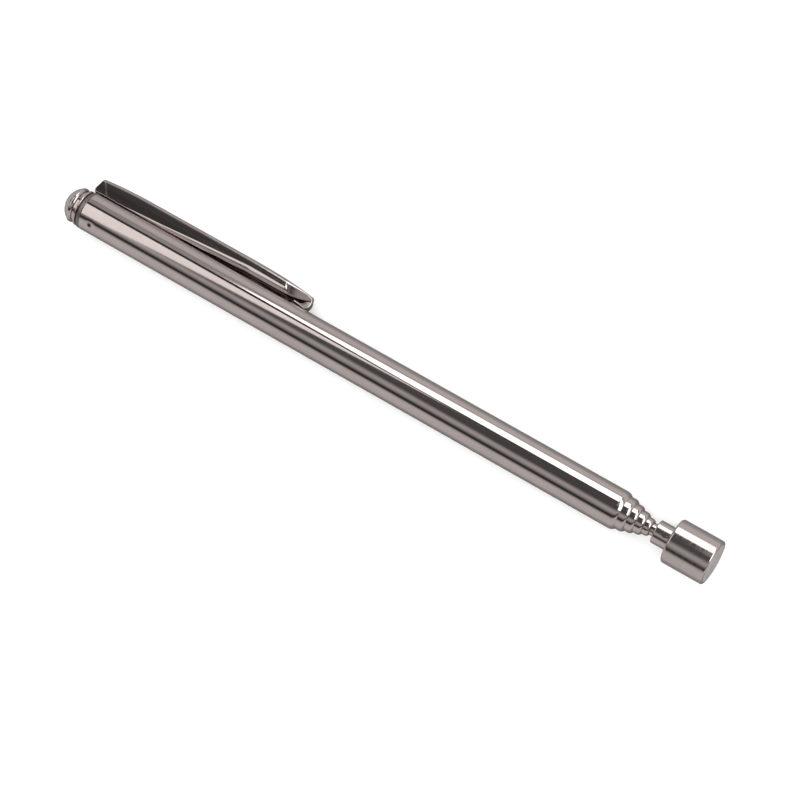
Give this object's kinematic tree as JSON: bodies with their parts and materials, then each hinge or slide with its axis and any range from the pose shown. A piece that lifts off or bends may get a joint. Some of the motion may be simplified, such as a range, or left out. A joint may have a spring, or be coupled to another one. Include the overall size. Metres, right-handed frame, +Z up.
{
  "type": "telescopic magnetic pickup tool",
  "caption": "Pen-sized telescopic tube with a domed end cap and sprung pocket clip, drawn out to reach and lift small steel parts with the round magnet at its tip.",
  "frame": {"origin": "middle of the closed tool's footprint on the table it lies on", "axes": "+X along the tool towards the magnet, +Z up, +Y to the side that the pocket clip is on"},
  "size_m": [0.1316, 0.0108, 0.0081],
  "materials": {
    "tube_chrome": "bright nickel-chrome plating, drawn along the tube",
    "section_chrome": "bright plating on thin drawn tube",
    "cap_chrome": "turned and plated",
    "clip_chrome": "bright plated spring strip",
    "head_nickel": "satin nickel plating on turned steel",
    "magnet_nickel": "ground and nickel plated",
    "collar_brass": "turned brass",
    "spring_bronze": "rolled phosphor bronze strip"
  },
  "bodies": {
    "handle": {"outer_tube": "tube_chrome", "end_cap": "cap_chrome", "cap_washer": "cap_chrome", "clip_ring": "clip_chrome"},
    "clip": {"clip_arm": "clip_chrome"},
    "section_1": {"inner_tube_1": "section_chrome", "stop_collar_1": "collar_brass", "friction_spring_1": "spring_bronze"},
    "section_2": {"inner_tube_2": "section_chrome", "stop_collar_2": "collar_brass", "friction_spring_2": "spring_bronze"},
    "section_3": {"inner_tube_3": "section_chrome", "stop_collar_3": "collar_brass", "friction_spring_3": "spring_bronze"},
    "section_4": {"inner_tube_4": "section_chrome", "stop_collar_4": "collar_brass", "friction_spring_4": "spring_bronze"},
    "rod_guide": {"rod_collar": "collar_brass", "rod_spring": "spring_bronze"},
    "head": {"rod": "section_chrome", "magnet_cup": "head_nickel", "magnet": "magnet_nickel"}
  },
  "joints": [
    {"name": "slide_1", "type": "slide", "parent": "handle", "child": "section_1", "axis": [1, 0, 0], "range_m": [0, 0.10092]},
    {"name": "slide_2", "type": "slide", "parent": "section_1", "child": "section_2", "axis": [1, 0, 0], "range_m": [0, 0.1028]},
    {"name": "slide_3", "type": "slide", "parent": "section_2", "child": "section_3", "axis": [1, 0, 0], "range_m": [0, 0.1042]},
    {"name": "slide_4", "type": "slide", "parent": "section_3", "child": "section_4", "axis": [1, 0, 0], "range_m": [0, 0.10562]},
    {"name": "slide_5", "type": "slide", "parent": "section_4", "child": "rod_guide", "axis": [1, 0, 0], "range_m": [0, 0.10682]},
    {"name": "head_spin", "type": "hinge", "parent": "rod_guide", "child": "head", "pos_m": [0.05785, -0.00133, 0.00405], "axis": [1, 0, 0], "continuous": true},
    {"name": "clip_flex", "type": "hinge", "parent": "handle", "child": "clip", "pos_m": [-0.06149, 0.00224, 0.00248], "axis": [0, 0.4021, 0.9156], "range_deg": [0, 4], "stiffness_Nm_per_rad": 4, "springref_deg": -1.15}
  ]
}
